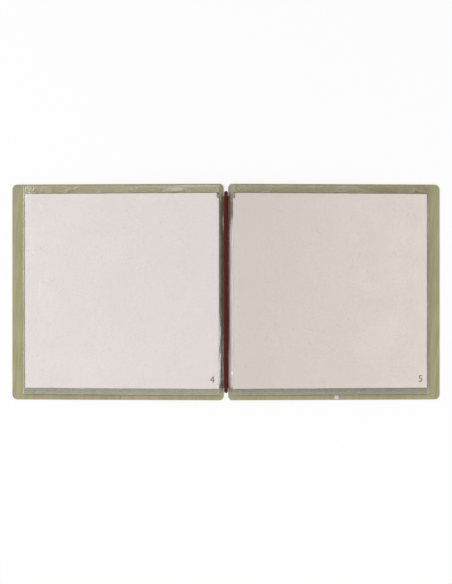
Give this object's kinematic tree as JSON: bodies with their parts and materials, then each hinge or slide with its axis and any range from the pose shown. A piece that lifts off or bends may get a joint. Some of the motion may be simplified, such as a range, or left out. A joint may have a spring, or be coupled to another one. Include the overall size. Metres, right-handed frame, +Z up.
{
  "type": "stamp album",
  "caption": "Square soft-covered collecting album lying open, with clear pocket leaves and card inserts held at the fold by an elastic cord round a notched spine.",
  "frame": {"origin": "on the table under the middle of the spine, with the album lying open", "axes": "+X across the spread to the right-hand page, +Y to the top of the page, +Z up from the table"},
  "size_m": [0.3342, 0.168, 0.0087],
  "materials": {
    "cover_vinyl": "matte grained",
    "elastic": "woven cover, matte",
    "card": "uncoated recycled card",
    "clear_film": "clear gloss",
    "tab": "plain woven"
  },
  "bodies": {
    "spine": {"spine_panel": "cover_vinyl", "elastic_cord": "elastic", "sleeve_1_fold": "clear_film", "sleeve_2_fold": "clear_film", "sleeve_3_fold": "clear_film", "sleeve_4_fold": "clear_film"},
    "front_cover": {"front_cover": "cover_vinyl"},
    "back_cover": {"back_cover": "cover_vinyl", "edge_tab": "tab"},
    "left_leaf_4": {"left_sleeve_4_back_film": "clear_film", "left_sleeve_4_front_film": "clear_film", "left_sleeve_4_seams": "clear_film"},
    "left_insert_4": {"left_sleeve_4_insert": "card"},
    "left_leaf_3": {"left_sleeve_3_back_film": "clear_film", "left_sleeve_3_front_film": "clear_film", "left_sleeve_3_seams": "clear_film"},
    "left_insert_3": {"left_sleeve_3_insert": "card"},
    "left_leaf_2": {"left_sleeve_2_back_film": "clear_film", "left_sleeve_2_front_film": "clear_film", "left_sleeve_2_seams": "clear_film"},
    "left_insert_2": {"left_sleeve_2_insert": "card"},
    "left_leaf_1": {"left_sleeve_1_back_film": "clear_film", "left_sleeve_1_front_film": "clear_film", "left_sleeve_1_seams": "clear_film"},
    "left_insert_1": {"left_sleeve_1_insert": "card"},
    "right_leaf_4": {"right_sleeve_4_back_film": "clear_film", "right_sleeve_4_front_film": "clear_film", "right_sleeve_4_seams": "clear_film"},
    "right_insert_4": {"right_sleeve_4_insert": "card"},
    "right_leaf_3": {"right_sleeve_3_back_film": "clear_film", "right_sleeve_3_front_film": "clear_film", "right_sleeve_3_seams": "clear_film"},
    "right_insert_3": {"right_sleeve_3_insert": "card"},
    "right_leaf_2": {"right_sleeve_2_back_film": "clear_film", "right_sleeve_2_front_film": "clear_film", "right_sleeve_2_seams": "clear_film"},
    "right_insert_2": {"right_sleeve_2_insert": "card"},
    "right_leaf_1": {"right_sleeve_1_back_film": "clear_film", "right_sleeve_1_front_film": "clear_film", "right_sleeve_1_seams": "clear_film"},
    "right_insert_1": {"right_sleeve_1_insert": "card"}
  },
  "joints": [
    {"name": "front_cover_fold", "type": "hinge", "parent": "spine", "child": "front_cover", "pos_m": [-0.0052, 0, 0.00535], "axis": [0, 1, 0], "range_deg": [0, 91.08]},
    {"name": "left_leaf_4_turn", "type": "hinge", "parent": "front_cover", "child": "left_leaf_4", "pos_m": [0, 0, 0.00905], "axis": [0, -1, 0], "range_deg": [-180, 0]},
    {"name": "left_insert_4_slide", "type": "slide", "parent": "left_leaf_4", "child": "left_insert_4", "axis": [0, 1, 0], "range_m": [0, 0.1564]},
    {"name": "left_leaf_3_turn", "type": "hinge", "parent": "left_leaf_4", "child": "left_leaf_3", "pos_m": [0, 0, 0.00905], "axis": [0, -1, 0], "range_deg": [-180, 0]},
    {"name": "left_insert_3_slide", "type": "slide", "parent": "left_leaf_3", "child": "left_insert_3", "axis": [0, 1, 0], "range_m": [0, 0.1564]},
    {"name": "left_leaf_2_turn", "type": "hinge", "parent": "left_leaf_3", "child": "left_leaf_2", "pos_m": [0, 0, 0.00905], "axis": [0, -1, 0], "range_deg": [-180, 0]},
    {"name": "left_insert_2_slide", "type": "slide", "parent": "left_leaf_2", "child": "left_insert_2", "axis": [0, 1, 0], "range_m": [0, 0.1564]},
    {"name": "left_leaf_1_turn", "type": "hinge", "parent": "left_leaf_2", "child": "left_leaf_1", "pos_m": [0, 0, 0.00905], "axis": [0, -1, 0], "range_deg": [-180, 0]},
    {"name": "left_insert_1_slide", "type": "slide", "parent": "left_leaf_1", "child": "left_insert_1", "axis": [0, 1, 0], "range_m": [0, 0.1564]},
    {"name": "back_cover_fold", "type": "hinge", "parent": "spine", "child": "back_cover", "pos_m": [0.0052, 0, 0.00535], "axis": [0, -1, 0], "range_deg": [0, 91.08]},
    {"name": "right_leaf_4_turn", "type": "hinge", "parent": "back_cover", "child": "right_leaf_4", "pos_m": [0, 0, 0.00905], "axis": [0, 1, 0], "range_deg": [-180, 0]},
    {"name": "right_insert_4_slide", "type": "slide", "parent": "right_leaf_4", "child": "right_insert_4", "axis": [0, 1, 0], "range_m": [0, 0.1564]},
    {"name": "right_leaf_3_turn", "type": "hinge", "parent": "right_leaf_4", "child": "right_leaf_3", "pos_m": [0, 0, 0.00905], "axis": [0, 1, 0], "range_deg": [-180, 0]},
    {"name": "right_insert_3_slide", "type": "slide", "parent": "right_leaf_3", "child": "right_insert_3", "axis": [0, 1, 0], "range_m": [0, 0.1564]},
    {"name": "right_leaf_2_turn", "type": "hinge", "parent": "right_leaf_3", "child": "right_leaf_2", "pos_m": [0, 0, 0.00905], "axis": [0, 1, 0], "range_deg": [-180, 0]},
    {"name": "right_insert_2_slide", "type": "slide", "parent": "right_leaf_2", "child": "right_insert_2", "axis": [0, 1, 0], "range_m": [0, 0.1564]},
    {"name": "right_leaf_1_turn", "type": "hinge", "parent": "right_leaf_2", "child": "right_leaf_1", "pos_m": [0, 0, 0.00905], "axis": [0, 1, 0], "range_deg": [-180, 0]},
    {"name": "right_insert_1_slide", "type": "slide", "parent": "right_leaf_1", "child": "right_insert_1", "axis": [0, 1, 0], "range_m": [0, 0.1564]}
  ]
}
